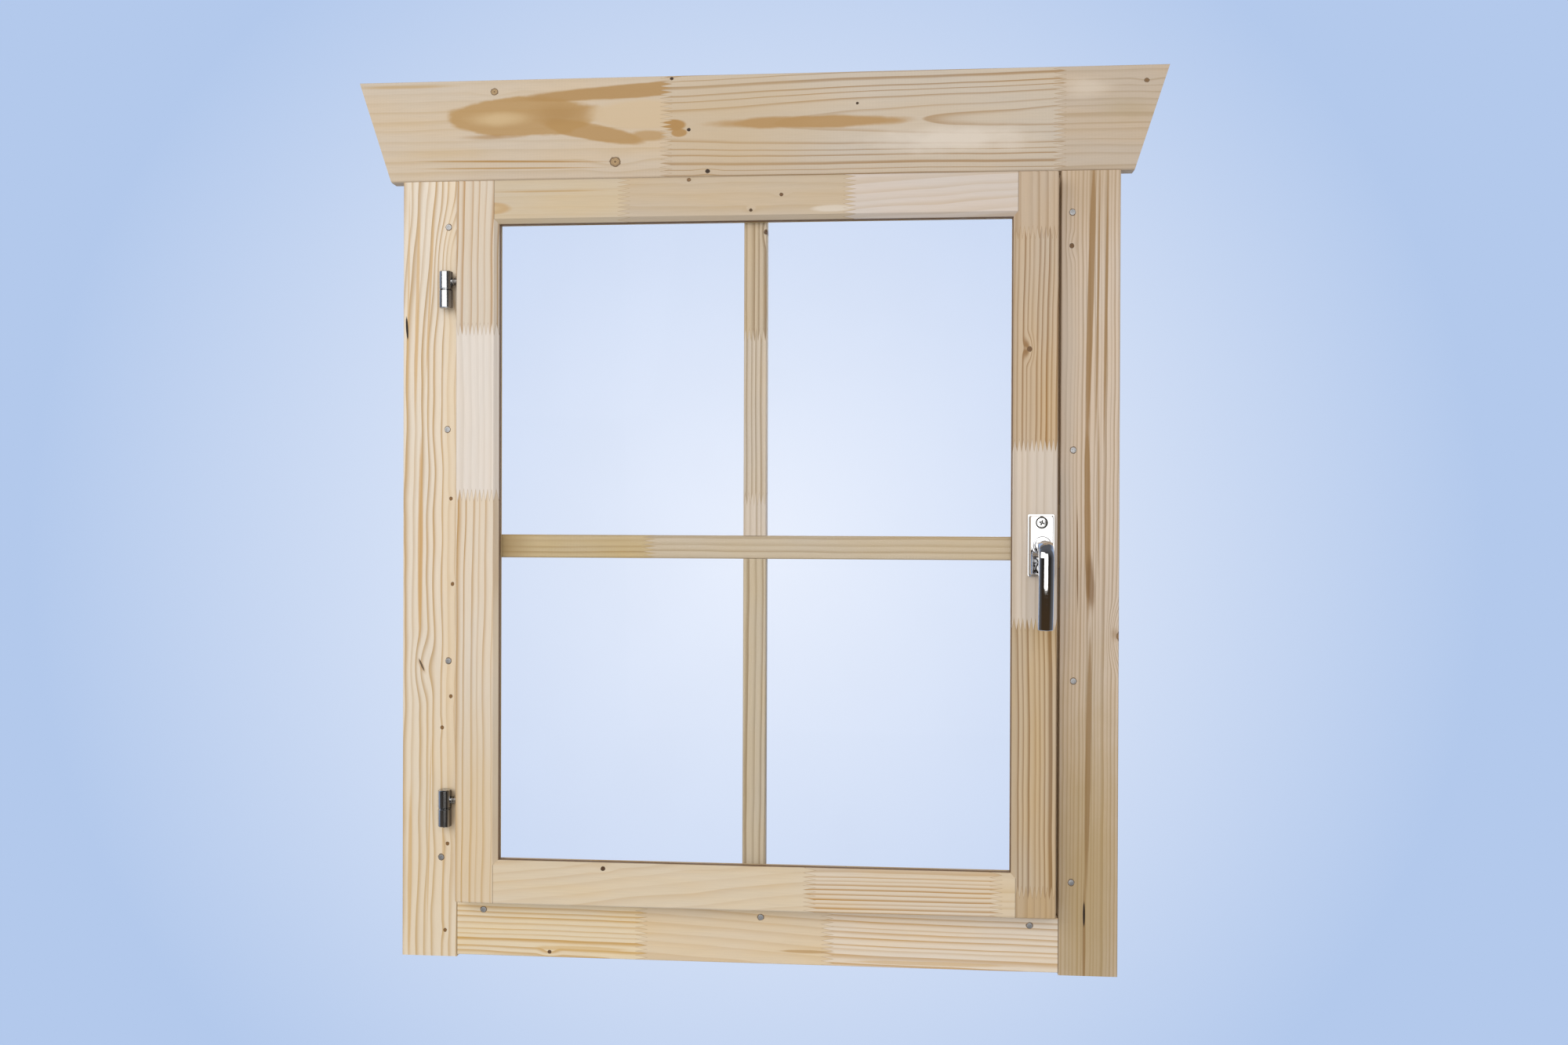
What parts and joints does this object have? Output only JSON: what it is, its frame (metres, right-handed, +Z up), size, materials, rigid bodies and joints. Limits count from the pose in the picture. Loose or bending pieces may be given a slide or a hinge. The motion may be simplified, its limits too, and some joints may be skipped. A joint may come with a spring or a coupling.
{
  "type": "casement window",
  "caption": "Side-hung timber casement window: casing boards with a sloped-end header, a hinged glazed sash divided by a muntin cross, and a turning lever handle.",
  "frame": {"origin": "middle of the sill jamb's underside, where the window sits in the wall opening", "axes": "+Z up, +X to the right seen from the handle side, +Y from the handle side through the wall"},
  "size_m": [0.779, 0.126, 0.855],
  "materials": {
    "spruce": "planed, untreated",
    "clear_glass": "clear",
    "sealant": "matt brown",
    "zinc_steel": "bright zinc plate",
    "bright_chrome": "polished"
  },
  "bodies": {
    "frame": {"left_jamb": "spruce", "right_jamb": "spruce", "sill_jamb": "spruce", "head_jamb": "spruce", "left_casing": "spruce", "right_casing": "spruce", "bottom_casing": "spruce", "header_board": "spruce", "rear_left_casing": "spruce", "rear_right_casing": "spruce", "rear_top_casing": "spruce", "rear_bottom_casing": "spruce", "strike_plate": "zinc_steel", "upper_hinge_frame": "zinc_steel", "lower_hinge_frame": "zinc_steel"},
    "sash": {"left_stile": "spruce", "right_stile": "spruce", "top_rail": "spruce", "bottom_rail": "spruce", "bead_left": "spruce", "bead_right": "spruce", "bead_top": "spruce", "bead_bottom": "spruce", "horizontal_muntin": "spruce", "vertical_muntin_upper": "spruce", "vertical_muntin_lower": "spruce", "glass_pane": "clear_glass", "glazing_seal": "sealant", "upper_hinge_sash": "zinc_steel", "lower_hinge_sash": "zinc_steel", "handle_rosette": "bright_chrome", "latch_faceplate": "zinc_steel"},
    "handle": {"handle_lever": "bright_chrome"}
  },
  "joints": [
    {"name": "sash_hinge", "type": "hinge", "parent": "frame", "child": "sash", "pos_m": [-0.2994, -0.036, 0.3665], "axis": [0, 0, -1], "range_deg": [0, 110]},
    {"name": "handle_turn", "type": "hinge", "parent": "sash", "child": "handle", "pos_m": [0.2695, -0.0495, 0.3735], "axis": [0, 1, 0], "range_deg": [0, 90]}
  ]
}
